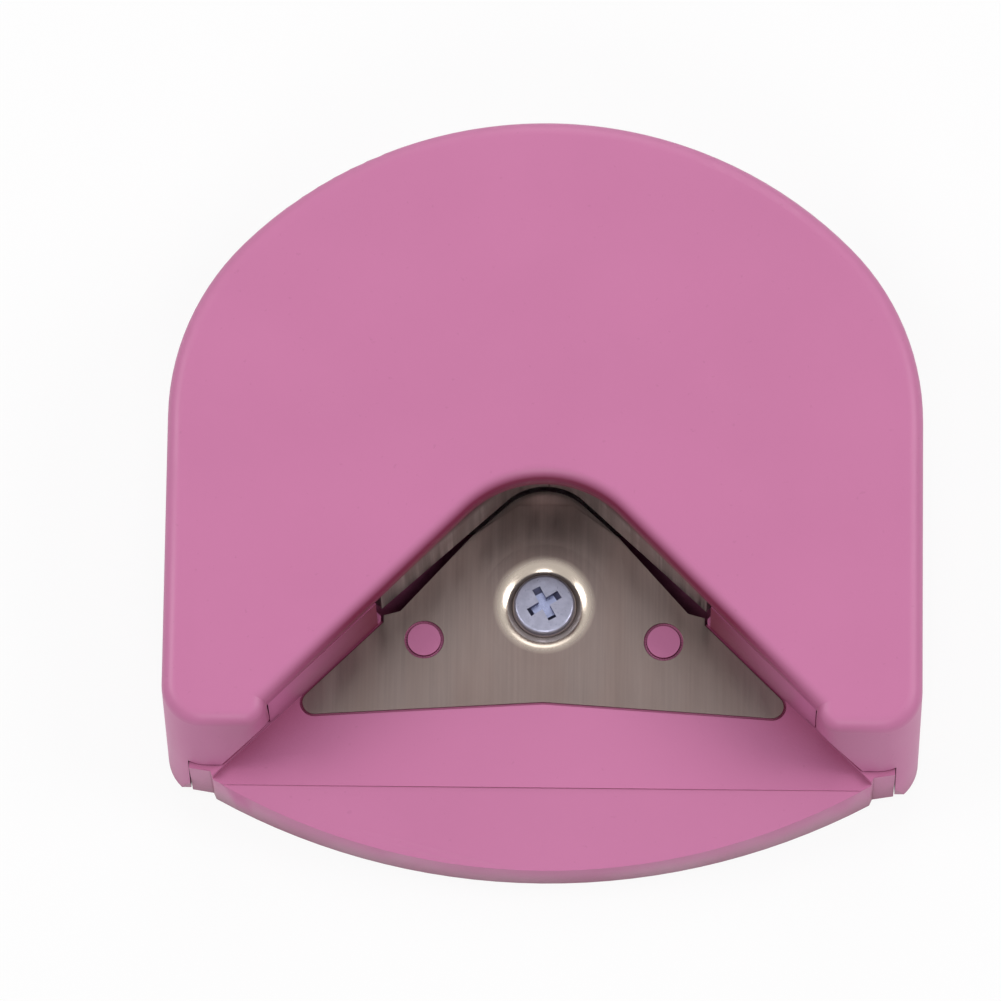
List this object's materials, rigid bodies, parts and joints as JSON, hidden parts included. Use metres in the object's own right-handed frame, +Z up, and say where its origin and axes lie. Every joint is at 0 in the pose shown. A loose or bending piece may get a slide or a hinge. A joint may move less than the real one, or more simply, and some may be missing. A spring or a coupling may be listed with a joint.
{
  "type": "corner rounder",
  "caption": "Hand-held corner rounding punch for paper and card: pivoting press cover over a flat base with a V guide, die plate and sprung punch.",
  "frame": {"origin": "bottom centre of the whole tool at rest, on the surface it stands on", "axes": "+X across the tool, +Y from the front lip towards the back, +Z up"},
  "size_m": [0.0542, 0.0537, 0.0161],
  "materials": {
    "pink_plastic": "fine satin moulded ABS, dusky pink",
    "holder_plastic": "moulded ABS, dusky pink",
    "bottom_plastic": "moulded ABS, dusky pink",
    "die_steel": "warm grey satin steel, brushed front to back",
    "punch_steel": "ground hardened steel",
    "pin_steel": "bright drawn steel",
    "spring_steel": "hard drawn spring wire",
    "screw_zinc": "bright zinc plated steel"
  },
  "bodies": {
    "base": {"base_body": "pink_plastic", "die_plate": "die_steel", "die_screw": "screw_zinc", "pivot_pins": "pin_steel", "bottom_plate": "bottom_plastic", "bottom_screws": "screw_zinc", "guide_pin_left": "pin_steel", "guide_pin_right": "pin_steel", "return_spring_left": "spring_steel", "return_spring_right": "spring_steel"},
    "punch": {"punch_blade": "punch_steel", "punch_holder": "holder_plastic", "punch_screws": "screw_zinc"},
    "cover": {"press_cover": "pink_plastic"}
  },
  "joints": [
    {"name": "cover_hinge", "type": "hinge", "parent": "base", "child": "cover", "pos_m": [0, -0.0165, 0.0029], "axis": [-1, 0, 0], "range_deg": [0, 5], "stiffness_Nm_per_rad": 0.6, "springref_deg": -2.29},
    {"name": "punch_slide", "type": "slide", "parent": "base", "child": "punch", "axis": [0, 0, -1], "range_m": [0, 0.0018], "deforming": ["return_spring_left", "return_spring_right"]}
  ],
  "couplings": [
    {"joint": "punch_slide", "follows": "cover_hinge", "m_per_rad": 0.020506}
  ]
}
